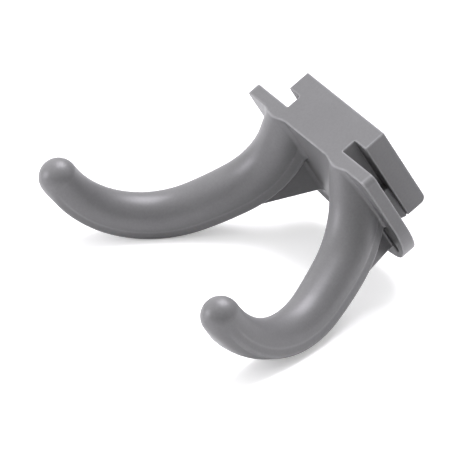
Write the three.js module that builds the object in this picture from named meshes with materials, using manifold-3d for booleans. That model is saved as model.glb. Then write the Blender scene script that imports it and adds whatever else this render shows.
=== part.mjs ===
// Twin-arm headphone hook: a T-slot mount that slides onto a plate or rail, and two splayed J-shaped arms
// that cradle the headband. The real hook is one injection moulding in mid-grey plastic, so the meshes here
// are its working regions, each a closed solid that meets its neighbours face to face.
//
// Millimetres, +Z up, +X to the hook's right-hand arm, -Y out into the room. The parts are drawn from a datum
// on the bearing face, the back of the flange that lies against the plate, at mid-width and level with the
// mount's top. The finished hook is then moved so that its origin is the centre of the key's back face.
import * as THREE from "three";
import { mergeVertices } from "three/addons/utils/BufferGeometryUtils.js";
import Module from "manifold-3d";

const wasm = await Module();
wasm.setup();

// ---- driving dimensions ----

// the key: the plate behind the rail's lips
const keyWidth = 40;
const keyThickness = 6.8;
const mountHeight = 28;
const keyBackRadius = 2; // round on the lower back edge, which leads the key in
const keyFrontRadius = 0.6;

// the side slots that take the lips, and the neck between them
const slotGap = 4.3;
const neckWidth = 29;

// the stop lugs that close the bottom of each slot
const lugRecess = 0.5; // how far a lug's foot stands in from the key's end
const lugRamp = 2; // how much further in the top of its sloping outer face is
const lugTop = -18;
const lugBottom = -28.8;
const lugRadius = 1;
const lugBevel = 1; // how high the slanted cut along its lower front edge reaches

// the flange: the plate in front of the lips, which carries the arms
const flangeWidth = 62;
const flangeHeight = 38.5;
const flangeThickness = 3.8;
const flangeTopRadius = 2;
const flangeBottomRadius = 18.5;
const lipDepth = 0.8; // the low lip that stands forward along the flange's lower edge
const lipHeight = 2.4;

// the arms: each lies in an upright plane, splayed from straight ahead, and leaves the flange pointing down
const armRootX = 18.5; // where the arm's centre line leaves the flange's face
const armRootZ = -10.4;
const armSplay = THREE.MathUtils.degToRad(25);
const armDip = THREE.MathUtils.degToRad(48.5);
const armArcs = [
  { radius: 28.5, turn: THREE.MathUtils.degToRad(45.5) },
  { radius: 95, turn: THREE.MathUtils.degToRad(7.5) },
  { radius: 30, turn: THREE.MathUtils.degToRad(84.5) },
];
const armRootRadius = 7.25; // the round upper part of the section
const armTipRadius = 5.5; // also the ball that ends the arm

// the arm's section is round on top and has a flat-bottomed shoe below, in shares of the local radius
const shoeHalfWidth = 0.96;
const shoeDepth = 0.8;
const shoeCornerRadius = 0.18;
const tipRoundness = 0.65; // how far the section has gone towards a circle where the ball's blend begins
const ballBlend = 6; // the length over which it then rounds out into the ball

// the gusset web under each arm
const webThickness = 4;
const webRootZ = -32.3; // its lower edge at the flange's face
const webRise = 0.248; // how much the lower edge climbs for each millimetre forwards
const webRootRadius = 3;
const webReach = 32; // far enough forwards for the lower edge to be inside the arm

// ---- worked out from them ----

const armFootY = -flangeThickness;
const leadIn = 2 * armRootRadius; // arms start this far behind the flange's face and are cut there
const roundSteps = 20;
const cornerSteps = 3;
const tipRings = 7;
const ringSpacing = 2.2;

// One satin grey for the whole moulding, a shade darker on the undersides so that they read apart.
function plastic(colour) {
  return new THREE.MeshStandardMaterial({ color: colour, roughness: 0.48, metalness: 0 });
}
const mountGrey = 0x8f8e92;
const armGrey = 0x8a898d;
const webGrey = 0x7c7b7f;

// ---- solids ----

// A closed geometry as a manifold-3d solid.
function toSolid(geometry) {
  const bare = geometry.index ? geometry.toNonIndexed() : geometry.clone();
  bare.deleteAttribute("normal");
  bare.deleteAttribute("uv");
  const merged = mergeVertices(bare, 1e-4);
  return new wasm.Manifold(
    new wasm.Mesh({
      numProp: 3,
      vertProperties: new Float32Array(merged.attributes.position.array),
      triVerts: new Uint32Array(merged.index.array),
    }),
  );
}

// A manifold-3d solid as a geometry with flat shading.
function toGeometry(solid) {
  const mesh = solid.getMesh();
  const geometry = new THREE.BufferGeometry();
  geometry.setAttribute("position", new THREE.BufferAttribute(new Float32Array(mesh.vertProperties), 3));
  geometry.setIndex(new THREE.BufferAttribute(new Uint32Array(mesh.triVerts), 1));
  geometry.computeVertexNormals();
  return geometry;
}

// The room that arms and webs may fill: all that is in front of the flange's face, except a slab beside it
// above the mount's top, so that the arms' roots finish flush with the top.
function frontRoom() {
  const size = 400;
  const room = new THREE.BoxGeometry(size, size, size).translate(0, armFootY - size / 2, 0);
  const slabDepth = 2 * armRootRadius;
  const slab = new THREE.BoxGeometry(flangeWidth, slabDepth, armRootRadius);
  slab.translate(0, armFootY, armRootRadius / 2);
  return toSolid(room).subtract(toSolid(slab));
}

function named(name, geometry, colour) {
  const mesh = new THREE.Mesh(geometry, plastic(colour));
  mesh.name = name;
  return mesh;
}

// ---- the mount ----

// Extrudes a profile drawn in (y, z) along X, from x = start.
function extrudeAcross(profile, start, width, curveSegments) {
  const geometry = new THREE.ExtrudeGeometry(profile, { depth: width, bevelEnabled: false, curveSegments });
  // (profile x, profile y, depth) becomes (y, z, x)
  const turn = new THREE.Matrix4().makeBasis(
    new THREE.Vector3(0, 1, 0),
    new THREE.Vector3(0, 0, 1),
    new THREE.Vector3(1, 0, 0),
  );
  geometry.applyMatrix4(turn);
  geometry.translate(start, 0, 0);
  return geometry;
}

// The key's end view: square at the top, rounded along its two lower edges.
function keyGeometry() {
  const front = slotGap;
  const back = slotGap + keyThickness;
  const profile = new THREE.Shape();
  profile.moveTo(front, 0);
  profile.lineTo(front, -mountHeight + keyFrontRadius);
  profile.absarc(front + keyFrontRadius, -mountHeight + keyFrontRadius, keyFrontRadius, Math.PI, 1.5 * Math.PI);
  profile.lineTo(back - keyBackRadius, -mountHeight);
  profile.absarc(back - keyBackRadius, -mountHeight + keyBackRadius, keyBackRadius, 1.5 * Math.PI, 2 * Math.PI);
  profile.lineTo(back, 0);
  profile.closePath();
  return extrudeAcross(profile, -keyWidth / 2, keyWidth, 8);
}

function neckGeometry() {
  const geometry = new THREE.BoxGeometry(neckWidth, slotGap, mountHeight);
  geometry.translate(0, slotGap / 2, -mountHeight / 2);
  return geometry;
}

// Extrudes an outline drawn in (x, z) along Y, from y = back towards the room.
function extrudeForwards(outline, back, depth, curveSegments) {
  const geometry = new THREE.ExtrudeGeometry(outline, { depth, bevelEnabled: false, curveSegments });
  // (outline x, outline y, depth) becomes (x, z, -y)
  geometry.rotateX(Math.PI / 2);
  geometry.translate(0, back, 0);
  return geometry;
}

// The flange's front view: small rounds at the top corners, wide ones at the bottom.
function flangeOutline() {
  const half = flangeWidth / 2;
  const top = flangeTopRadius;
  const low = flangeBottomRadius;
  const outline = new THREE.Shape();
  outline.moveTo(-half + low, -flangeHeight);
  outline.lineTo(half - low, -flangeHeight);
  outline.absarc(half - low, -flangeHeight + low, low, -Math.PI / 2, 0);
  outline.lineTo(half, -top);
  outline.absarc(half - top, -top, top, 0, Math.PI / 2);
  outline.lineTo(-half + top, 0);
  outline.absarc(-half + top, -top, top, Math.PI / 2, Math.PI);
  outline.lineTo(-half, -flangeHeight + low);
  outline.absarc(-half + low, -flangeHeight + low, low, Math.PI, 1.5 * Math.PI);
  return outline;
}

// The lip's front view: a crescent along the flange's lower edge that thins out to nothing at both sides.
function lipOutline() {
  const half = flangeWidth / 2;
  const low = flangeBottomRadius;
  const centreZ = -flangeHeight + low;
  const outline = new THREE.Shape();
  outline.moveTo(-half, centreZ);
  outline.absarc(-half + low, centreZ, low, Math.PI, 1.5 * Math.PI);
  outline.absarc(half - low, centreZ, low, 1.5 * Math.PI, 2 * Math.PI);
  outline.absellipse(half - low, centreZ, low, low - lipHeight, 0, -Math.PI / 2, true);
  outline.absellipse(-half + low, centreZ, low, low - lipHeight, -Math.PI / 2, -Math.PI, true);
  return outline;
}

// The flange with its lip. The back of the plate is the bearing face.
function flangeGeometry() {
  const plate = extrudeForwards(flangeOutline(), 0, flangeThickness, 14);
  const lip = extrudeForwards(lipOutline(), 0, flangeThickness + lipDepth, 14);
  return toGeometry(toSolid(plate).add(toSolid(lip)));
}

// A stop lug fills the slot between flange and key, from the neck out. Its outer face is a ramp that leads
// out to a rounded lower corner, and its lower front edge is cut off at a slant.
function lugGeometry(side) {
  const inner = neckWidth / 2;
  const outer = keyWidth / 2 - lugRecess;
  const outline = new THREE.Shape();
  outline.moveTo(inner, lugBottom);
  outline.lineTo(outer - lugRadius, lugBottom);
  outline.absarc(outer - lugRadius, lugBottom + lugRadius, lugRadius, -Math.PI / 2, 0);
  outline.lineTo(outer - lugRamp, lugTop);
  outline.lineTo(inner, lugTop);
  outline.closePath();
  const profile = new THREE.Shape();
  profile.moveTo(0, lugTop);
  profile.lineTo(0, lugBottom + lugBevel);
  profile.lineTo(slotGap / 2, lugBottom + lugBevel);
  profile.lineTo(slotGap, lugBottom);
  profile.lineTo(slotGap, lugTop);
  profile.closePath();
  const front = toSolid(extrudeForwards(outline, slotGap, slotGap, 8));
  const end = toSolid(extrudeAcross(profile, inner, outer - inner, 1));
  const geometry = toGeometry(front.intersect(end));
  return side > 0 ? geometry : mirrored(geometry);
}

// The same solid on the other side of the mid-plane, with its faces turned to point out again.
function mirrored(geometry) {
  const flipped = (geometry.index ? geometry.toNonIndexed() : geometry.clone()).scale(-1, 1, 1);
  const position = flipped.getAttribute("position");
  const a = new THREE.Vector3();
  const b = new THREE.Vector3();
  for (let i = 0; i < position.count; i += 3) {
    a.fromBufferAttribute(position, i + 1);
    b.fromBufferAttribute(position, i + 2);
    position.setXYZ(i + 1, b.x, b.y, b.z);
    position.setXYZ(i + 2, a.x, a.y, a.z);
  }
  flipped.computeVertexNormals();
  return flipped;
}

// ---- the arms ----
// An arm is drawn in its own plane, as (forwards, up), and then stood up in the splayed plane.

// The centre line as stations { at, heading, radius }, from the lead-in behind the flange to the ball's centre.
function armStations() {
  const stations = [];
  const start = new THREE.Vector2(0, armRootZ);
  const back = new THREE.Vector2(Math.cos(armDip), -Math.sin(armDip)).multiplyScalar(-leadIn);
  stations.push({ at: start.clone().add(back), heading: -armDip, travelled: 0 });
  stations.push({ at: start.clone(), heading: -armDip, travelled: 0 });
  let heading = -armDip;
  let travelled = 0;
  let at = start;
  for (const { radius, turn } of armArcs) {
    const normal = new THREE.Vector2(-Math.sin(heading), Math.cos(heading));
    const centre = at.clone().addScaledVector(normal, radius);
    const steps = Math.ceil((radius * turn) / ringSpacing);
    for (let i = 1; i <= steps; i++) {
      const angle = heading + (turn * i) / steps;
      const out = new THREE.Vector2(Math.sin(angle), -Math.cos(angle));
      stations.push({
        at: centre.clone().addScaledVector(out, radius),
        heading: angle,
        travelled: travelled + (radius * turn * i) / steps,
      });
    }
    heading += turn;
    travelled += radius * turn;
    at = stations.at(-1).at;
  }
  for (const station of stations) {
    const share = station.travelled / travelled;
    const ballShare = THREE.MathUtils.smoothstep(station.travelled, travelled - ballBlend, travelled);
    station.radius = THREE.MathUtils.lerp(armRootRadius, armTipRadius, share);
    station.roundness = THREE.MathUtils.lerp(tipRoundness * share ** 2, 1, ballShare);
  }
  return stations;
}

// Points along an arc of a circle, both ends included.
function arcPoints(x, y, radius, from, to, steps) {
  return Array.from({ length: steps + 1 }, (_, i) => {
    const angle = THREE.MathUtils.lerp(from, to, i / steps);
    return new THREE.Vector2(x + radius * Math.cos(angle), y + radius * Math.sin(angle));
  });
}

// The section for a radius of 1, as (across, up) points, counter-clockwise from the right-hand crease where
// the round top meets the shoe's straight side.
function unitSection() {
  const crease = Math.acos(shoeHalfWidth);
  const corner = shoeCornerRadius;
  const cornerX = shoeHalfWidth - corner;
  const cornerY = corner - shoeDepth;
  return [
    ...arcPoints(0, 0, 1, -crease, Math.PI + crease, roundSteps),
    ...arcPoints(-cornerX, cornerY, corner, Math.PI, 1.5 * Math.PI, cornerSteps),
    ...arcPoints(cornerX, cornerY, corner, -Math.PI / 2, 0, cornerSteps),
  ];
}

const stations = armStations();
const section = unitSection();

// Unit vectors of one arm's plane in the hook's frame: ahead, and across to the arm's right.
function armAxes(side) {
  return {
    ahead: new THREE.Vector3(side * Math.sin(armSplay), -Math.cos(armSplay), 0),
    across: new THREE.Vector3(Math.cos(armSplay), side * Math.sin(armSplay), 0),
    root: new THREE.Vector3(side * armRootX, armFootY, 0),
  };
}

// A point given as (forwards, up) in the arm's plane and an offset across it.
function inArm({ ahead, across, root }, forwards, up, offset) {
  return root
    .clone()
    .addScaledVector(ahead, forwards)
    .addScaledVector(across, offset)
    .add(new THREE.Vector3(0, 0, up));
}

// The rings of the swept arm, then shrinking rings over the ball, and the ball's last point. A ring's points
// move out onto a circle as its station's roundness grows.
function armRings(axes) {
  const rings = [];
  const ring = (station, scale, reach) => {
    const { at, heading, roundness } = station;
    return section.map((corner) => {
      const point = corner.clone().lerp(corner.clone().normalize(), roundness);
      const lift = point.y * scale;
      return inArm(
        axes,
        at.x + reach * Math.cos(heading) - lift * Math.sin(heading),
        at.y + reach * Math.sin(heading) + lift * Math.cos(heading),
        point.x * scale,
      );
    });
  };
  for (const station of stations) rings.push(ring(station, station.radius, 0));
  const tip = stations.at(-1);
  for (let i = 1; i < tipRings; i++) {
    const angle = (i / tipRings) * (Math.PI / 2);
    rings.push(ring(tip, tip.radius * Math.cos(angle), tip.radius * Math.sin(angle)));
  }
  const end = ring(tip, 0, tip.radius)[0];
  return { rings, end };
}

function armSolid(side) {
  const { rings, end } = armRings(armAxes(side));
  const count = section.length;
  const corners = rings.flat();
  const endIndex = corners.push(end) - 1;
  const startIndex = corners.push(middle(rings[0])) - 1;
  const index = [];
  for (let i = 0; i + 1 < rings.length; i++) {
    for (let j = 0; j < count; j++) {
      const a = i * count + j;
      const b = i * count + ((j + 1) % count);
      index.push(a, a + count, b, b, a + count, b + count);
    }
  }
  const last = (rings.length - 1) * count;
  for (let j = 0; j < count; j++) {
    const next = (j + 1) % count;
    index.push(startIndex, j, next);
    index.push(endIndex, last + next, last + j);
  }
  const geometry = new THREE.BufferGeometry().setFromPoints(corners);
  geometry.setIndex(index);
  return outward(toSolid(geometry), geometry).intersect(frontRoom());
}

function middle(points) {
  const sum = points.reduce((total, point) => total.add(point), new THREE.Vector3());
  return sum.divideScalar(points.length);
}

// The solid with its faces pointing out, whichever way round its rings were wound.
function outward(solid, geometry) {
  if (solid.volume() > 0) return solid;
  const index = Array.from(geometry.index.array);
  for (let i = 0; i < index.length; i += 3) [index[i + 1], index[i + 2]] = [index[i + 2], index[i + 1]];
  const turned = geometry.clone();
  turned.setIndex(index);
  return toSolid(turned);
}

// ---- the gusset webs ----

// The web's outline in the arm's plane. Its top follows the arm's centre line, which is inside the arm; its
// bottom leaves the flange in a round and then climbs straight until it is inside the arm as well.
function webOutline() {
  const lowerEdge = (forwards) => webRootZ + webRise * forwards;
  const slope = Math.atan(webRise);
  const roundZ = lowerEdge(webRootRadius) - webRootRadius / Math.cos(slope);
  const centreLine = stations.map(({ at }) => at).filter(({ x }) => x > 0 && x < webReach);
  const end = centreLine.at(-1);
  const outline = new THREE.Shape();
  outline.moveTo(-webThickness, roundZ);
  outline.absarc(webRootRadius, roundZ, webRootRadius, Math.PI, Math.PI / 2 + slope, true);
  outline.lineTo(end.x, lowerEdge(end.x));
  for (const { x, y } of centreLine.reverse()) outline.lineTo(x, y);
  outline.lineTo(-webThickness, armRootZ);
  outline.closePath();
  return outline;
}

function webSolid(side, arm) {
  const axes = armAxes(side);
  const geometry = new THREE.ExtrudeGeometry(webOutline(), {
    depth: webThickness,
    bevelEnabled: false,
    curveSegments: 6,
  });
  geometry.translate(0, 0, -webThickness / 2);
  const corners = geometry.getAttribute("position");
  for (let i = 0; i < corners.count; i++) {
    const place = inArm(axes, corners.getX(i), corners.getY(i), corners.getZ(i));
    corners.setXYZ(i, place.x, place.y, place.z);
  }
  const welded = mergeVertices(new THREE.BufferGeometry().setAttribute("position", corners), 1e-4);
  return outward(toSolid(welded), welded).intersect(frontRoom()).subtract(arm);
}

// ---- the hook ----

const hook = new THREE.Group();
hook.add(named("rail_key", keyGeometry(), mountGrey));
hook.add(named("mount_neck", neckGeometry(), mountGrey));
hook.add(named("front_flange", flangeGeometry(), mountGrey));
for (const [word, side] of [["left", -1], ["right", 1]]) {
  hook.add(named(`${word}_stop_lug`, lugGeometry(side), mountGrey));
  const arm = armSolid(side);
  hook.add(named(`${word}_arm`, toGeometry(arm), armGrey));
  hook.add(named(`${word}_gusset_web`, toGeometry(webSolid(side, arm)), webGrey));
}

hook.position.set(0, -(slotGap + keyThickness), mountHeight / 2);

export default hook;
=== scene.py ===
"""The looks of a moulded plastic headphone hook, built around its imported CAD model.

The hook's skin is the zero surface of an implicit solid: boxes, rounded plates and swept arms joined with
round fillets, as the cavity of a mould is. The solid is then cut into the CAD's parts, which keep the
smooth normals of the whole so that no seam shows. Lengths inside the implicit solid are in millimetres, in
the CAD's frame (+Z up, -Y forwards along the arms); Blender's objects are in metres.
"""

import math

import bpy
import numpy as np
from mathutils import Matrix, Quaternion, Vector


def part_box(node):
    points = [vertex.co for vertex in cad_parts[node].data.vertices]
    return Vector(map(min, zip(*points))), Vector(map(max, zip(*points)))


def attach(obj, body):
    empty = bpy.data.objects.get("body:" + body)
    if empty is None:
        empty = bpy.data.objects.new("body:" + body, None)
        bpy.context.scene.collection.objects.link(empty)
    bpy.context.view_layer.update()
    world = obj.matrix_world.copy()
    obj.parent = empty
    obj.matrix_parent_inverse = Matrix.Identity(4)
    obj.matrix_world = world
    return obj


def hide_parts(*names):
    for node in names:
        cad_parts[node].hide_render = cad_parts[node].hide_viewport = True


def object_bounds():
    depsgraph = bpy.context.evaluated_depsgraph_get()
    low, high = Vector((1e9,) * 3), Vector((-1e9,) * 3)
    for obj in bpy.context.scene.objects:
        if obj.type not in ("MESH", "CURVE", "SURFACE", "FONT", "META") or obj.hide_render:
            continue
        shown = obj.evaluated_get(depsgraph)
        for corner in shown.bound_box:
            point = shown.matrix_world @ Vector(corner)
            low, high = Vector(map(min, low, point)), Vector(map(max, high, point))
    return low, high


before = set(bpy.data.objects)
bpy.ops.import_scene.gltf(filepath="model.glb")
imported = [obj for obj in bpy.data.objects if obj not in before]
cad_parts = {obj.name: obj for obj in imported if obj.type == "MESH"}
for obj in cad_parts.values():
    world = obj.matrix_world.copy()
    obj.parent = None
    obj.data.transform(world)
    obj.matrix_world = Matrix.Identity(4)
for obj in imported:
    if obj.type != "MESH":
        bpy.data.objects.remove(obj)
cad_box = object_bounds()

MM = 0.001
TINY = 1e-9  # what a divisor is kept above

# ---------------------------------------------------------------------------------------------------------
# sizes
# ---------------------------------------------------------------------------------------------------------


def box_mm(node):
    """A CAD node's lowest and highest corners, in millimetres."""
    low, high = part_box(node)
    return np.array(low) / MM, np.array(high) / MM


KEY_LOW, KEY_HIGH = box_mm("rail_key")
NECK_LOW, NECK_HIGH = box_mm("mount_neck")
FLANGE_LOW, FLANGE_HIGH = box_mm("front_flange")
LUG_LOW, LUG_HIGH = box_mm("right_stop_lug")
FLANGE_THICKNESS = 3.8
BEARING_Y = FLANGE_HIGH[1]
FACE_Y = BEARING_Y - FLANGE_THICKNESS  # the flange's front face, which the arms grow from
LIP_DEPTH = FACE_Y - FLANGE_LOW[1]  # the lip along the flange's lower edge
TOP_Z = FLANGE_HIGH[2]

KEY_HEEL_RADIUS = 2.0  # the key's lower back edge
FLANGE_TOP_RADIUS = 2.0
FLANGE_BOTTOM_RADIUS = 18.5
LIP_HEIGHT = 2.8
LIP_HOLD = 1.5  # the more this is above 1, the further up the sides the lip keeps its full depth
LUG_RADIUS = 1.0
LUG_BEVEL = 1.0  # the height of the slanted cut along a lug's lower front edge
LUG_RAMP = 2.0  # how much further in a lug's top is than its foot
LUG_EDGE = 0.5  # the radius of a lug's front and back edges
LUG_BEVEL_SCALE = 0.8  # brings the slanted cut's values near true distances
EDGE_RADIUS = 0.3  # every other outer edge
SLOT_FILLET = 0.3  # inner corners of the side slots
OVERLAP = 1.0  # how far a shape runs on into the one that it is joined to

# the right-hand arm's centre line, in its own upright plane
ARM_ROOT_X = 18.5
ARM_ROOT_Z = TOP_Z - 10.4
ARM_SPLAY = math.radians(25)
ARM_DIP = math.radians(48.5)
# each arc's radius, and how far it turns upwards
ARM_ARCS = ((28.5, math.radians(45.5)), (95.0, math.radians(7.5)), (30.0, math.radians(84.5)))
ARM_ROOT_RADIUS = 7.25
ARM_TIP_RADIUS = 5.5
ARM_FILLET = 1.2  # where the arm meets the flange

# the arm's section, in shares of its local radius: a round top over a flat-bottomed shoe
SHOE_DEPTH = 0.8
SHOE_CORNER = 0.18
CREASE = 0.28  # how far below the centre the round top meets the shoe
SECTION_STEPS = 721  # a quarter of a degree apart
TIP_ROUNDNESS = 0.65  # how far the section has gone towards a circle where the ball's blend begins
BALL_BLEND = 6.0  # the length over which it then rounds out into the ball

WEB_HALF_THICKNESS = 2.0
WEB_ROOT_Z = TOP_Z - 32.3  # its lower edge at the flange
WEB_RISE = 0.248  # how fast that edge climbs as it goes forwards
WEB_REACH = 32.0  # how far forwards the web can run
WEB_FILLET = 0.8


# ---------------------------------------------------------------------------------------------------------
# the implicit solid
# ---------------------------------------------------------------------------------------------------------
# Each function takes arrays of coordinates and gives the signed distance to a shape, negative inside.


def round_union(a, b, radius):
    """Joins two shapes with a round fillet in the corner between them."""
    corner = np.hypot(np.maximum(radius - a, 0), np.maximum(radius - b, 0))
    return np.maximum(radius, np.minimum(a, b)) - corner


def round_cut(a, b, radius):
    """What two shapes have in common, with the edge between them rounded off."""
    edge = np.hypot(np.maximum(a + radius, 0), np.maximum(b + radius, 0))
    return np.minimum(-radius, np.maximum(a, b)) + edge


def rounded_rectangle(u, v, low, high, radii):
    """A rectangle with a radius for each corner: lower left, lower right, upper left, upper right."""
    middle_u, middle_v = (low[0] + high[0]) / 2, (low[1] + high[1]) / 2
    low_low, high_low, low_high, high_high = radii
    radius = np.where(
        v < middle_v,
        np.where(u < middle_u, low_low, high_low),
        np.where(u < middle_u, low_high, high_high),
    )
    reach_u = np.abs(u - middle_u) - (high[0] - low[0]) / 2 + radius
    reach_v = np.abs(v - middle_v) - (high[1] - low[1]) / 2 + radius
    outside = np.hypot(np.maximum(reach_u, 0), np.maximum(reach_v, 0))
    return outside + np.minimum(np.maximum(reach_u, reach_v), 0) - radius


def between(value, low, high):
    """How far a value lies outside a range, negative inside it."""
    return np.abs(value - (low + high) / 2) - (high - low) / 2


def smooth(share):
    """Eases from 0 to 1."""
    share = np.clip(share, 0, 1)
    return share * share * (3 - 2 * share)


def key(x, y, z):
    """The plate behind the slots. It runs on above the top, where the whole moulding is trimmed."""
    small = EDGE_RADIUS
    top = KEY_HIGH[1:] + (0, OVERLAP)
    profile = rounded_rectangle(y, z, KEY_LOW[1:], top, (small, KEY_HEEL_RADIUS, small, small))
    return round_cut(profile, between(x, KEY_LOW[0], KEY_HIGH[0]), small)


def neck(x, y, z):
    """The block between the slots. It has no top of its own: the whole moulding is trimmed there."""
    depth = between(y, NECK_LOW[1] - OVERLAP, NECK_HIGH[1] + OVERLAP)
    sides = np.maximum(between(x, NECK_LOW[0], NECK_HIGH[0]), depth)
    return round_cut(sides, NECK_LOW[2] - z, EDGE_RADIUS)


def lug(x, y, z):
    """The stop in the right-hand slot, with a sloping outer face and a slanted lower front edge."""
    small = EDGE_RADIUS
    height = LUG_HIGH[2] - LUG_LOW[2]
    sloped_x = x + LUG_RAMP / height * np.clip(z - LUG_LOW[2], 0, height)
    inner_foot = (LUG_LOW[0] - 2 * OVERLAP, LUG_LOW[2])
    outer_top = (LUG_HIGH[0], LUG_HIGH[2])
    outline = rounded_rectangle(sloped_x, z, inner_foot, outer_top, (small, LUG_RADIUS, small, small))
    middle_y = (LUG_LOW[1] + LUG_HIGH[1]) / 2
    cut_away = LUG_BEVEL * np.clip((LUG_HIGH[1] - y) / (LUG_HIGH[1] - middle_y), 0, 1)
    outline = np.maximum(outline, LUG_BEVEL_SCALE * (LUG_LOW[2] + cut_away - z))
    return round_cut(outline, between(y, LUG_LOW[1] - OVERLAP, LUG_HIGH[1]), LUG_EDGE)


def flange(x, y, z):
    """The front plate. A low lip swells forward along its lower edge and dies out up the sides."""
    low, high = FLANGE_BOTTOM_RADIUS, FLANGE_TOP_RADIUS
    outline = rounded_rectangle(x, z, FLANGE_LOW[::2], FLANGE_HIGH[::2], (low, low, high, high))
    # carried on above the top, where the whole moulding is trimmed flush
    above = np.maximum(np.abs(x) - (FLANGE_HIGH[0] - high), np.abs(z - TOP_Z) - OVERLAP)
    outline = np.minimum(outline, above)
    fade = smooth((FLANGE_LOW[2] + FLANGE_BOTTOM_RADIUS - z) / FLANGE_BOTTOM_RADIUS)
    lip = LIP_DEPTH * smooth(1 + outline / LIP_HEIGHT) * np.minimum(LIP_HOLD * fade, 1)
    return round_cut(outline, between(y, FACE_Y - lip, BEARING_Y), EDGE_RADIUS)


def centre_line():
    """The arm's centre line in its own plane: its arcs, its end, the heading there, and its length.

    An arc has a centre, a radius, its first and last heading, and the distance at which it starts.
    """
    at = np.array([0.0, ARM_ROOT_Z])
    heading = -ARM_DIP
    travelled = 0.0
    arcs = []
    for radius, turn in ARM_ARCS:
        centre = at + radius * np.array([-math.sin(heading), math.cos(heading)])
        arcs.append((centre, radius, heading, heading + turn, travelled))
        heading += turn
        travelled += radius * turn
        at = centre + radius * np.array([math.sin(heading), -math.cos(heading)])
    return arcs, at, heading, travelled


ARCS, TIP_AT, TIP_HEADING, ARM_LENGTH = centre_line()


def local_radius(travel):
    """The arm's radius at a distance along its centre line."""
    return ARM_ROOT_RADIUS + (ARM_TIP_RADIUS - ARM_ROOT_RADIUS) * travel / ARM_LENGTH


def section_table():
    """Polar radius of the unit section, and the cosine of the angle between its radius and its normal.

    The angle is measured from straight up, and the section is the same on both sides.
    """
    half_width = math.sqrt(1 - CREASE**2)
    angle = np.linspace(0, math.pi, SECTION_STEPS)
    sine, cosine = np.sin(angle), np.cos(angle)
    wall = half_width / np.maximum(sine, TINY)
    floor = SHOE_DEPTH / np.maximum(-cosine, TINY)
    # the corner's arc: the far crossing of the ray with the corner's circle
    centre_x, centre_y = half_width - SHOE_CORNER, SHOE_CORNER - SHOE_DEPTH
    along = centre_x * sine + centre_y * cosine
    inside = along**2 - centre_x**2 - centre_y**2 + SHOE_CORNER**2
    arc = along + np.sqrt(np.maximum(inside, 0))
    shoe = np.minimum(wall, floor)
    in_corner = (cosine < 0) & (shoe * sine > centre_x) & (shoe * cosine < centre_y)
    radius = np.where(cosine > -CREASE, 1.0, shoe)
    radius = np.where(in_corner, arc, radius)
    slope = np.gradient(radius, angle)
    return angle, radius, radius / np.hypot(radius, slope)


ANGLES, SECTION_RADII, SECTION_COSINES = section_table()


def arm_frame(x, y, z):
    """Where points are in the right-hand arm's own plane: forwards, up, across."""
    dx, dy = x - ARM_ROOT_X, y - FACE_Y
    forwards = dx * math.sin(ARM_SPLAY) - dy * math.cos(ARM_SPLAY)
    across = dx * math.cos(ARM_SPLAY) + dy * math.sin(ARM_SPLAY)
    return forwards, z, across


def from_line(u, w, at, heading):
    """How far points are along a straight line from a place on it, and how far above the line."""
    du, dw = u - at[0], w - at[1]
    ahead = du * math.cos(heading) + dw * math.sin(heading)
    above = -du * math.sin(heading) + dw * math.cos(heading)
    return ahead, above


def along_arm(u, w):
    """For points of the arm's plane: height above the centre line, distance along it, and past its end."""
    travel = np.zeros_like(u)
    past = np.zeros_like(u)
    ahead, lift = from_line(u, w, (0, ARM_ROOT_Z), -ARM_DIP)
    todo = ahead >= 0
    ahead, above = from_line(u, w, TIP_AT, TIP_HEADING)
    near_tip = u > TIP_AT[0] - 3 * ARM_TIP_RADIUS
    beyond = todo & (ahead > 0) & near_tip
    lift[beyond] = above[beyond]
    travel[beyond] = ARM_LENGTH
    past[beyond] = ahead[beyond]
    todo &= ~beyond
    for centre, radius, first, last, start in ARCS:
        du, dw = u - centre[0], w - centre[1]
        before_end = du * math.cos(last) + dw * math.sin(last) <= 0
        # the last arc also takes what is left over
        inside = todo & (before_end | (last == TIP_HEADING))
        angle = np.arctan2(du[inside], -dw[inside])
        lift[inside] = radius - np.hypot(du[inside], dw[inside])
        travel[inside] = start + radius * np.clip(angle - first, 0, last - first)
        todo = todo & ~inside
    return lift, travel, past


def arm(lift, travel, past, across):
    """The swept arm, with the ball that ends it."""
    angle = np.arctan2(np.abs(across), lift)
    flatness = 1 - TIP_ROUNDNESS * (travel / ARM_LENGTH) ** 2
    into_ball = smooth((travel - ARM_LENGTH) / BALL_BLEND + 1)
    # 0 for the unit section, 1 for a circle
    roundness = 1 - flatness * (1 - into_ball)
    radii = np.interp(angle, ANGLES, SECTION_RADII)
    radii = radii + (1 - radii) * roundness
    cosines = np.interp(angle, ANGLES, SECTION_COSINES)
    cosines = cosines + (1 - cosines) * roundness
    spread = np.hypot(np.hypot(across, lift) / radii, past)
    return (spread - local_radius(travel)) * radii * cosines


def web(u, w, across, lift):
    """The gusset under the arm: a thin upright plate with a straight lower edge."""
    below = (WEB_ROOT_Z + WEB_RISE * u - w) / math.hypot(1, WEB_RISE)
    plate = round_cut(np.abs(across) - WEB_HALF_THICKNESS, below, EDGE_RADIUS)
    return np.maximum(np.maximum(plate, lift), u - WEB_REACH)


def limb(x, y, z):
    """One arm with its web."""
    u, w, across = arm_frame(x, y, z)
    lift, travel, past = along_arm(u, w)
    return round_union(arm(lift, travel, past, across), web(u, w, across, lift), WEB_FILLET)


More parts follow.
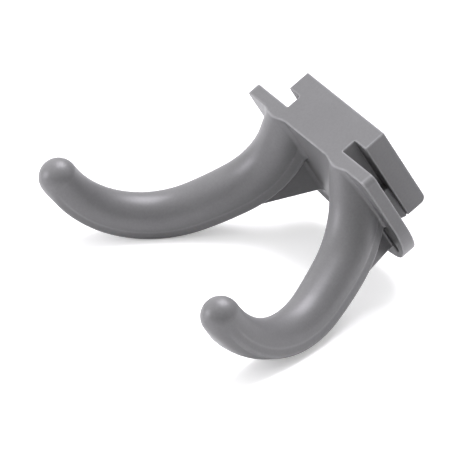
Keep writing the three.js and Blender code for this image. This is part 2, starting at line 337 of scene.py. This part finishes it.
def moulding(x, y, z):
    """The whole hook."""
    x = np.abs(x)
    front = np.maximum(limb(x, y, z), y - (FACE_Y + OVERLAP))
    whole = round_union(flange(x, y, z), front, ARM_FILLET)
    mount = round_union(key(x, y, z), round_union(neck(x, y, z), lug(x, y, z), SLOT_FILLET), SLOT_FILLET)
    whole = round_union(whole, mount, SLOT_FILLET)
    # the flange's top corners are round already: the trimmed edge fades out before them
    edge = EDGE_RADIUS * smooth(FLANGE_HIGH[0] - FLANGE_TOP_RADIUS - x)
    beside_mount = y > FACE_Y - ARM_ROOT_RADIUS
    return np.where(beside_mount, round_cut(whole, z - TOP_Z, edge), whole)


# ---------------------------------------------------------------------------------------------------------
# from the implicit solid to a mesh
# ---------------------------------------------------------------------------------------------------------

GRID_STEP = 0.3
GRADIENT_REACH = 0.04
SETTLING_ROUNDS = 4
LEAST_SLOPE_SQUARED = 0.05  # keeps a settling point's move short where the distance hardly changes


def sample_grid():
    """The solid's distances on a grid around it, and the grid's lowest point.

    Only the right half is worked out: the left half is its mirror image.
    """
    margin = 3 * GRID_STEP
    low = np.array(cad_box[0]) / MM - margin
    high = np.array(cad_box[1]) / MM + margin
    half = [GRID_STEP * (i + 0.5) for i in range(math.ceil(high[0] / GRID_STEP))]
    depths = np.arange(low[1], high[1], GRID_STEP)
    heights = np.arange(low[2], high[2], GRID_STEP)
    y, z = np.meshgrid(depths, heights, indexing="ij")
    right = np.stack([moulding(np.full_like(y, x), y, z) for x in half])
    return np.array([-half[-1], low[1], low[2]]), np.concatenate([right[::-1], right])


def crossings(low, values, axis):
    """Where the surface crosses the grid's edges along an axis, and the four cells around each such edge.

    The cells go round the way that turns a quad through them outwards.
    """
    step, side, other = (np.eye(3, dtype=int)[(axis + turn) % 3] for turn in range(3))
    first = values[tuple(slice(0, n - s) for n, s in zip(values.shape, step))]
    second = values[tuple(slice(s, n) for n, s in zip(values.shape, step))]
    crossed = np.argwhere((first < 0) != (second < 0))
    a = first[tuple(crossed.T)]
    b = second[tuple(crossed.T)]
    spots = low + GRID_STEP * (crossed + np.outer(a / (a - b), step))
    around = [crossed - side - other, crossed - other, crossed, crossed - side]
    cells = np.stack([np.ravel_multi_index(cell.T, values.shape) for cell in around], axis=1)
    return spots, np.where((a < 0)[:, None], cells, cells[:, ::-1])


def surface_net(low, values):
    """Corners and quads of the zero surface.

    Each grid cell that the surface passes has one corner, in the middle of the spots where the surface
    crosses the cell's edges. Each crossed edge has one quad.
    """
    spots, quads = zip(*(crossings(low, values, axis) for axis in range(3)))
    spots = np.repeat(np.concatenate(spots), 4, axis=0)
    quads = np.concatenate(quads)
    _, place = np.unique(quads.ravel(), return_inverse=True)
    number = np.bincount(place)
    corners = np.stack([np.bincount(place, spots[:, i]) / number for i in range(3)], axis=1)
    return corners, place.reshape(quads.shape)


def unit(vectors):
    """Vectors at a length of 1."""
    return vectors / np.maximum(np.linalg.norm(vectors, axis=-1, keepdims=True), TINY)


def gradient(points):
    """How fast the solid's distance grows along each axis, at each point."""
    slopes = []
    for step in GRADIENT_REACH * np.eye(3):
        ahead, behind = (points + step).T, (points - step).T
        slopes.append((moulding(*ahead) - moulding(*behind)) / (2 * GRADIENT_REACH))
    return np.stack(slopes, axis=1)


def settle(points):
    """Moves points onto the zero surface by Newton's method, by no more than a grid step in a round."""
    for _ in range(SETTLING_ROUNDS):
        slope = gradient(points)
        slope_squared = np.maximum((slope**2).sum(axis=1), LEAST_SLOPE_SQUARED)
        move = -(moulding(*points.T) / slope_squared)[:, None] * slope
        size = np.linalg.norm(move, axis=1, keepdims=True)
        points = points + move * np.minimum(1, GRID_STEP / np.maximum(size, TINY))
    return points


def triangles_of(corners, quads):
    """Splits each quad along its shorter diagonal."""
    a, b, c, d = quads.T
    ac = np.linalg.norm(corners[a] - corners[c], axis=1)
    bd = np.linalg.norm(corners[b] - corners[d], axis=1)
    along_ac = np.stack([a, b, c, a, c, d], axis=1)[ac <= bd]
    along_bd = np.stack([a, b, d, b, c, d], axis=1)[ac > bd]
    return np.concatenate([along_ac, along_bd]).reshape(-1, 3)


def moulded_skin():
    """The whole hook's skin: its corners and triangles, none of which is hidden by a cut."""
    corners, quads = surface_net(*sample_grid())
    corners = settle(corners)
    faces = triangles_of(corners, quads)
    return corners, faces, np.zeros(len(faces), bool)


# ---------------------------------------------------------------------------------------------------------
# cutting the skin into parts
# ---------------------------------------------------------------------------------------------------------
# A solid is (corners, faces, hidden): a closed triangle mesh, with a mark on the faces that close a cut.

SEAM = 0.05  # parts are cut apart this far beyond the faces they grow from
LUG_SEAM = 0.2  # and the lugs this far beyond the neck's sides
NEAREST_TO_CUT = 1e-6  # a corner nearer to a cut than this counts as this far beyond it
CLEAR_OF_MIDDLE = 1.0  # a cut that stays this far from the middle plane is a pair of mirrored loops
# the neck's section is widest across the lugs, so its fan's centre is lowered towards their height
NECK_FAN_DROP = 0.5
# an arm's root is a wide round over a narrow web, so its fan's centre is raised into the round
ARM_FAN_DROP = -0.35


def fans(corners, rim, drop):
    """Closes the loops drawn by a rim's directed edges with a fan of triangles for each loop.

    A fan's centre is the middle of its loop, moved down by a share of the way to the loop's lowest corner,
    or up by that much if the share is negative. A fan is clean only where its centre sees the whole loop:
    the loops around an arm's root and along its web turn corners, and their fans fold over there.
    """
    x = corners[rim[:, 0], 0]
    mirrored_pair = np.abs(x).min() > CLEAR_OF_MIDDLE
    loops = (x < 0, x > 0) if mirrored_pair else (np.ones(len(x), bool),)
    triangles = []
    for loop in loops:
        spots = corners[rim[loop, 0]]
        centre = spots.mean(axis=0)
        centre[2] += drop * (spots[:, 2].min() - centre[2])
        number = np.full(loop.sum(), len(corners))
        corners = np.concatenate([corners, [centre]])
        triangles.append(np.column_stack([rim[loop], number]))
    return corners, np.concatenate(triangles)


def split_edges(corners, value, a, b, c):
    """Adds a corner where a field is zero on each edge a-b and a-c, and gives the new corners' numbers."""
    edges = np.sort(np.concatenate([np.stack([a, b], axis=1), np.stack([a, c], axis=1)]), axis=1)
    edges, place = np.unique(edges, axis=0, return_inverse=True)
    near, far = value[edges].T
    share = (near / (near - far))[:, None]
    fresh = corners[edges[:, 0]] * (1 - share) + corners[edges[:, 1]] * share
    p, q = len(corners) + place.reshape(2, -1)
    return np.concatenate([corners, fresh]), p, q


def cut(solid, field, drop=0.0):
    """Cuts a solid where a field of its corners is zero, and gives its negative and positive halves."""
    corners, faces, hidden = solid
    value = field(*corners.T)
    value = np.where(np.abs(value) < NEAREST_TO_CUT, NEAREST_TO_CUT, value)
    negative = value < 0
    count = negative[faces].sum(axis=1)
    whole = (count == 0) | (count == 3)
    # turn each crossed triangle so that the corner on its own comes first
    crossed = faces[~whole]
    lone = (negative[crossed] == (count[~whole] == 1)[:, None]).argmax(axis=1)
    a, b, c = np.take_along_axis(crossed, (lone[:, None] + np.arange(3)) % 3, axis=1).T
    corners, p, q = split_edges(corners, value, a, b, c)
    tips = np.stack([a, p, q], axis=1)
    stumps = np.stack([p, b, c, p, c, q], axis=1).reshape(-1, 2, 3)
    halves = []
    for side in (True, False):
        kept = whole & (negative[faces[:, 0]] == side)
        mine = negative[a] == side
        rim = np.concatenate([np.stack([q, p], axis=1)[mine], np.stack([p, q], axis=1)[~mine]])
        closed_corners, lids = fans(corners, rim, drop)
        skin = [faces[kept], tips[mine], stumps[~mine].reshape(-1, 3)]
        marks = [hidden[kept], hidden[~whole][mine], np.repeat(hidden[~whole][~mine], 2)]
        marks.append(np.ones(len(lids), bool))
        halves.append((closed_corners, np.concatenate([*skin, lids]), np.concatenate(marks)))
    return halves


def sides(solid):
    """The left and right halves of a solid that is in two pieces."""
    corners, faces, hidden = solid
    left = corners[faces[:, 0], 0] < 0
    return (corners, faces[left], hidden[left]), (corners, faces[~left], hidden[~left])


# Each field below is negative in the part that it cuts off.


def behind_bearing_face(x, y, z):
    return BEARING_Y + SEAM - y


def behind_lips(x, y, z):
    return KEY_LOW[1] - SEAM - y


def beside_neck(x, y, z):
    return NECK_HIGH[0] + LUG_SEAM - np.abs(x)


def in_limb(x, y, z):
    """In front of the flange, as far around the arm and web as their fillet reaches."""
    near_limb = limb(np.abs(x), y, z) - 2 * ARM_FILLET
    return np.maximum(y - (FACE_Y - SEAM), near_limb)


def in_web(x, y, z):
    """Under the arm, from halfway down the fillet that joins web and arm."""
    u, w, _ = arm_frame(np.abs(x), y, z)
    lift, travel, _ = along_arm(u, w)
    return np.maximum(lift + SHOE_DEPTH * local_radius(travel) + WEB_FILLET / 2, u - WEB_REACH)


def parts_of(skin):
    """The CAD's parts by name."""
    mount, front = cut(skin, behind_bearing_face, NECK_FAN_DROP)
    key_part, between_plates = cut(mount, behind_lips, NECK_FAN_DROP)
    lugs, neck_part = cut(between_plates, beside_neck)
    limbs, flange_part = cut(front, in_limb, ARM_FAN_DROP)
    webs, arms = cut(limbs, in_web)
    parts = {"rail_key": key_part, "mount_neck": neck_part, "front_flange": flange_part}
    for kind, pair in (("stop_lug", lugs), ("arm", arms), ("gusset_web", webs)):
        parts[f"left_{kind}"], parts[f"right_{kind}"] = sides(pair)
    return parts


# ---------------------------------------------------------------------------------------------------------
# the parts' meshes
# ---------------------------------------------------------------------------------------------------------

BEND_REACH = 0.35
SHARP_BEND = 2.0  # the bend, per millimetre, from which an edge gets its full painted highlight and rubbed gloss
CREASE_WIDTH = 0.3
ARM_MARGIN = 1.1  # how far out a corner still belongs to the arm, in shares of its local radius


# the bend worked out here marks edges for a painted highlight in the colour and a rubbed gloss in the
# roughness
def edge_highlight_and_wear(corners):
    """How sharply the skin bends outwards at each corner, from 0 on flats to 1 on edges."""
    total = -6 * moulding(*corners.T)
    for step in BEND_REACH * np.eye(3):
        total += moulding(*(corners + step).T) + moulding(*(corners - step).T)
    return np.clip(total / BEND_REACH**2, 0, SHARP_BEND) / SHARP_BEND


# mask for a highlight painted along each arm's crease
def crease_highlight(corners):
    """How close each corner is to the crease along an arm's side: 1 on it, near 0 twice its width away."""
    x, y, z = corners.T
    u, w, across = arm_frame(np.abs(x), y, z)
    lift, travel, _ = along_arm(u, w)
    local = local_radius(travel)
    from_crease = local * (np.arctan2(np.abs(across), lift) - math.acos(-CREASE))
    on_arm = (np.hypot(across, lift) < ARM_MARGIN * local) & (u > 0)
    fade = smooth((ARM_LENGTH - travel) / BALL_BLEND)
    return np.where(on_arm, fade * np.exp(-((from_crease / CREASE_WIDTH) ** 2)), 0)


def add_attribute(mesh, name, values):
    attribute = mesh.attributes.new(name, "FLOAT", "POINT")
    attribute.data.foreach_set("value", values.astype(np.float32))


def part_mesh(name, solid):
    """A part's mesh in metres. Its skin has the moulding's own normals; its hidden cuts are flat."""
    all_corners, faces, hidden = solid
    used, faces = np.unique(faces, return_inverse=True)
    faces = faces.reshape(-1, 3)
    corners = all_corners[used]
    smooth_normals = unit(gradient(corners))[faces]
    a, b, c = corners[faces].transpose(1, 0, 2)
    flat_normals = np.repeat(unit(np.cross(b - a, c - a))[:, None], 3, axis=1)
    normals = np.where(hidden[:, None, None], flat_normals, smooth_normals)
    mesh = bpy.data.meshes.new(name)
    mesh.from_pydata((corners * MM).tolist(), [], faces.tolist())
    mesh.shade_smooth()
    mesh.normals_split_custom_set(normals.reshape(-1, 3).tolist())
    # mask for the painted edge highlight and the rubbed gloss
    add_attribute(mesh, "edge_highlight_and_wear", edge_highlight_and_wear(corners))
    # mask for the painted highlight along the arms' creases
    add_attribute(mesh, "crease_highlight", crease_highlight(corners))
    return mesh


# ---------------------------------------------------------------------------------------------------------
# materials
# ---------------------------------------------------------------------------------------------------------

PLASTIC_COLOUR = (0.124, 0.1237, 0.1257)
PAINTED_EDGE_HIGHLIGHT = 1.9  # how much lighter sharp edges are painted: a painted highlight
RUBBED_SMOOTHING = 0.06  # and how much less rough
CREASE_HIGHLIGHT = 1.35  # how much lighter an arm's crease is painted: a painted highlight
GRAIN_DEPTH = 0.02 * MM  # bump only
NOISE_RANGE = (0.3, 0.7)  # nearly all of a noise's values
FLOOR_GREY = 0.88
FLOOR_GLOW = 0.35  # seen by the camera alone


def add_node(tree, kind, **inputs):
    """A shader node with some of its inputs set; spaces in an input's name are written as underscores."""
    node = tree.nodes.new(kind)
    for name, value in inputs.items():
        node.inputs[name.replace("_", " ")].default_value = value
    return node


def noise(tree, place, scale, detail):
    """Cloudy noise over an object's own coordinates, from 0 to 1. The scale counts waves per metre."""
    texture = add_node(tree, "ShaderNodeTexNoise", Scale=scale, Detail=detail)
    tree.links.new(place.outputs["Object"], texture.inputs["Vector"])
    return texture.outputs["Fac"]


def remap(tree, source, low, high, to_low, to_high):
    """A value moved from the range low..high to another, and kept in it."""
    node = add_node(tree, "ShaderNodeMapRange", From_Min=low, From_Max=high, To_Min=to_low, To_Max=to_high)
    tree.links.new(source, node.inputs["Value"])
    return node.outputs["Result"]


def vary(tree, cloudy, low, high):
    """Noise stretched over the range low..high."""
    return remap(tree, cloudy, *NOISE_RANGE, low, high)


def math_node(tree, operation, first, second):
    """One arithmetic operation on two numbers or sockets."""
    node = tree.nodes.new("ShaderNodeMath")
    node.operation = operation
    for socket, value in zip(node.inputs, (first, second)):
        if isinstance(value, float):
            socket.default_value = value
        else:
            tree.links.new(value, socket)
    return node.outputs["Value"]


def attribute(tree, name):
    node = tree.nodes.new("ShaderNodeAttribute")
    node.attribute_name = name
    return node.outputs["Fac"]


def plastic():
    """Satin grey plastic: cloudy pigment, the mould's fine spark-eroded grain, edges painted pale as a
    highlight and made glossier as if rubbed, and a painted highlight along each arm's crease.
    """
    material = bpy.data.materials.new("grey_plastic")
    material.use_nodes = True
    tree = material.node_tree
    shader = tree.nodes["Principled BSDF"]
    place = tree.nodes.new("ShaderNodeTexCoord")
    cloud = noise(tree, place, scale=45, detail=3)
    grain = noise(tree, place, scale=1600, detail=3)
    patches = vary(tree, noise(tree, place, scale=250, detail=2), 0.5, 1.0)
    # sharp edges, in patches: painted highlight in the colour, less roughness as if rubbed
    highlight_and_rub = math_node(tree, "MULTIPLY", attribute(tree, "edge_highlight_and_wear"), patches)
    crease = attribute(tree, "crease_highlight")

    shade = vary(tree, cloud, 0.95, 1.05)
    shade = math_node(tree, "MULTIPLY", shade, vary(tree, grain, 0.95, 1.05))
    # painted highlight: sharp edges made lighter
    shade = math_node(tree, "MULTIPLY", shade, remap(tree, highlight_and_rub, 0.0, 1.0, 1.0, PAINTED_EDGE_HIGHLIGHT))
    # painted highlight: a light line along each arm's crease
    shade = math_node(tree, "MULTIPLY", shade, remap(tree, crease, 0.0, 1.0, 1.0, CREASE_HIGHLIGHT))
    tint = tree.nodes.new("ShaderNodeVectorMath")
    tint.operation = "SCALE"
    tint.inputs[0].default_value = PLASTIC_COLOUR
    tree.links.new(shade, tint.inputs["Scale"])
    tree.links.new(tint.outputs["Vector"], shader.inputs["Base Color"])

    roughness = vary(tree, cloud, 0.37, 0.43)
    smoothing = remap(tree, highlight_and_rub, 0.0, 1.0, 0.0, RUBBED_SMOOTHING)
    roughness = math_node(tree, "SUBTRACT", roughness, smoothing)
    tree.links.new(roughness, shader.inputs["Roughness"])

    bump = add_node(tree, "ShaderNodeBump", Strength=0.3, Distance=GRAIN_DEPTH)
    tree.links.new(grain, bump.inputs["Height"])
    tree.links.new(bump.outputs["Normal"], shader.inputs["Normal"])
    return material


# ---------------------------------------------------------------------------------------------------------
# stage, lights and camera
# ---------------------------------------------------------------------------------------------------------

FLOOR_TILT = 30  # degrees; the hook lies on its arms with the mount raised
FLOOR_HALF_WIDTH = 2.0

# the photo's view: degrees, metres, and millimetres on the sensor
CAMERA_AZIMUTH = 79.58
CAMERA_ELEVATION = 40.14
CAMERA_ROLL = -34.1
CAMERA_DISTANCE = 2.1636
CAMERA_LENS = 640
CAMERA_AIM = Vector((-1.25, FACE_Y - 31.3, TOP_Z - 6.05)) * MM

SOFTBOX_COLOUR = (1.0, 0.975, 1.05)
SOFTBOX_DISTANCE = 1.2
BRIGHT_SKY = Vector((-0.45, 0.35, 0.82))  # the way to the middle of the studio's bright side
SKY_COSINES = (0.15, 0.8)  # of the angle from that way, where the dark ends and the full brightness begins


def direction(azimuth, elevation):
    """A way out from the hook. Azimuth 0 is in front of it (-Y) and 90 on its right (+X)."""
    a, e = math.radians(azimuth), math.radians(elevation)
    return Vector((math.sin(a) * math.cos(e), -math.cos(a) * math.cos(e), math.sin(e)))


def new_object(name, data):
    """An object in the scene that shows a mesh, a light or a camera."""
    made = bpy.data.objects.new(name, data)
    bpy.context.scene.collection.objects.link(made)
    return made


def resting_plane():
    """A point and the normal of the table, which slopes up forwards and touches both arms from below."""
    normal = direction(180, 90 - FLOOR_TILT)
    lowest = min(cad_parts["right_arm"].data.vertices, key=lambda vertex: vertex.co.dot(normal))
    return Vector((0, lowest.co.y, lowest.co.z)), normal


def floor_material():
    """Pale matte paper, lifted to white for the camera. It can be seen through from below."""
    material = bpy.data.materials.new("pale_floor")
    material.use_nodes = True
    tree = material.node_tree
    shader = tree.nodes["Principled BSDF"]
    shader.inputs["Base Color"].default_value = (FLOOR_GREY, FLOOR_GREY, FLOOR_GREY, 1)
    shader.inputs["Roughness"].default_value = 0.8
    shader.inputs["Specular IOR Level"].default_value = 0.1
    shader.inputs["Emission Color"].default_value = (1, 1, 1, 1)
    ray = tree.nodes.new("ShaderNodeLightPath")
    lift = math_node(tree, "MULTIPLY", ray.outputs["Is Camera Ray"], FLOOR_GLOW)
    tree.links.new(lift, shader.inputs["Emission Strength"])
    clear = tree.nodes.new("ShaderNodeBsdfTransparent")
    side = tree.nodes.new("ShaderNodeNewGeometry")
    mix = tree.nodes.new("ShaderNodeMixShader")
    tree.links.new(side.outputs["Backfacing"], mix.inputs["Fac"])
    tree.links.new(shader.outputs["BSDF"], mix.inputs[1])
    tree.links.new(clear.outputs["BSDF"], mix.inputs[2])
    tree.links.new(mix.outputs["Shader"], tree.nodes["Material Output"].inputs["Surface"])
    return material


def add_floor(foot, normal):
    half = FLOOR_HALF_WIDTH
    mesh = bpy.data.meshes.new("floor")
    corners = [(-half, -half, 0), (half, -half, 0), (half, half, 0), (-half, half, 0)]
    mesh.from_pydata(corners, [], [(0, 1, 2, 3)])
    mesh.materials.append(floor_material())
    floor = new_object("floor", mesh)
    floor.matrix_world = Matrix.Translation(foot) @ normal.to_track_quat("Z", "Y").to_matrix().to_4x4()


def add_camera():
    data = bpy.data.cameras.new("camera")
    data.lens = CAMERA_LENS
    data.sensor_width = 36
    data.clip_end = 20
    camera = new_object("camera", data)
    back = direction(CAMERA_AZIMUTH, CAMERA_ELEVATION)
    roll = Quaternion((0, 0, 1), math.radians(CAMERA_ROLL))
    camera.rotation_mode = "QUATERNION"
    camera.rotation_quaternion = back.to_track_quat("Z", "Y") @ roll
    camera.location = CAMERA_AIM + CAMERA_DISTANCE * back
    bpy.context.scene.camera = camera


def add_softbox(name, toward, width, power):
    """A square light that faces the hook's middle, from the given way out."""
    data = bpy.data.lights.new(name, "AREA")
    data.shape = "RECTANGLE"
    data.size = width
    data.size_y = width
    data.energy = power
    data.color = SOFTBOX_COLOUR
    light = new_object(name, data)
    light.location = (cad_box[0] + cad_box[1]) / 2 + SOFTBOX_DISTANCE * toward
    light.rotation_mode = "QUATERNION"
    light.rotation_quaternion = toward.to_track_quat("Z", "Y")


def add_world(dark, bright):
    """A studio that is bright above and behind the hook and dim around the camera."""
    world = bpy.data.worlds.new("studio")
    bpy.context.scene.world = world
    world.use_nodes = True
    tree = world.node_tree
    background = tree.nodes["Background"]
    background.inputs["Color"].default_value = (1, 1, 1, 1)
    place = tree.nodes.new("ShaderNodeTexCoord")
    facing = tree.nodes.new("ShaderNodeVectorMath")
    facing.operation = "DOT_PRODUCT"
    facing.inputs[1].default_value = BRIGHT_SKY.normalized()
    tree.links.new(place.outputs["Generated"], facing.inputs[0])
    strength = remap(tree, facing.outputs["Value"], *SKY_COSINES, dark, bright)
    tree.links.new(strength, background.inputs["Strength"])


# ---------------------------------------------------------------------------------------------------------
# the scene
# ---------------------------------------------------------------------------------------------------------


def add_parts():
    material = plastic()
    for name, solid in parts_of(moulded_skin()).items():
        mesh = part_mesh(name, solid)
        mesh.materials.append(material)
        part = new_object(f"{name}_skin", mesh)
        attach(part, "root")
        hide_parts(name)


add_parts()
add_floor(*resting_plane())
add_world(dark=0.38, bright=1.3)
add_softbox("overhead_softbox", Vector((-0.2, 0.72, 0.66)), width=0.8, power=17)
add_softbox("left_softbox", Vector((-0.42, -0.617, 0.667)), width=0.5, power=6)
add_camera()
bpy.context.scene.view_settings.view_transform = "Standard"
